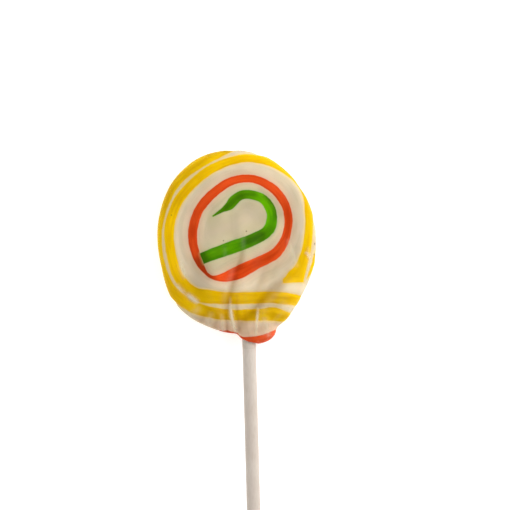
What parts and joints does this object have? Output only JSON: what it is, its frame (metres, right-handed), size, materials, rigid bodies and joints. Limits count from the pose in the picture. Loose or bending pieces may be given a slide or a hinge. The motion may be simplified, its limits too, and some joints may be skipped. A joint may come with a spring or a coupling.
{
  "type": "swirl lollipop",
  "caption": "Hard-candy lollipop: a pressed disc of rolled white, yellow, orange and green layers in clear film, on a straight rolled-paper stick.",
  "frame": {"origin": "On the flat back of the candy, under its middle, on the line of the stick.", "axes": "+Z out of the shown face of the disc, +Y along the stick from its free end towards the top of the disc, +X to the right with the face towards the viewer and the stick down."},
  "size_m": [0.0419, 0.1174, 0.009],
  "materials": {
    "candy_orange": "boiled sugar, gloss",
    "candy_green": "boiled sugar, gloss",
    "candy_yellow": "boiled sugar, gloss",
    "candy_white": "pulled sugar, gloss",
    "stick_paper": "matte"
  },
  "bodies": {
    "root": {"orange_ring": "candy_orange", "green_hook": "candy_green", "yellow_inner_turn": "candy_yellow", "yellow_outer_turn": "candy_yellow", "red_foot": "candy_orange", "white_core": "candy_white", "white_ring": "candy_white", "white_line": "candy_white", "white_base": "candy_white", "stick": "stick_paper"}
  },
  "joints": []
}
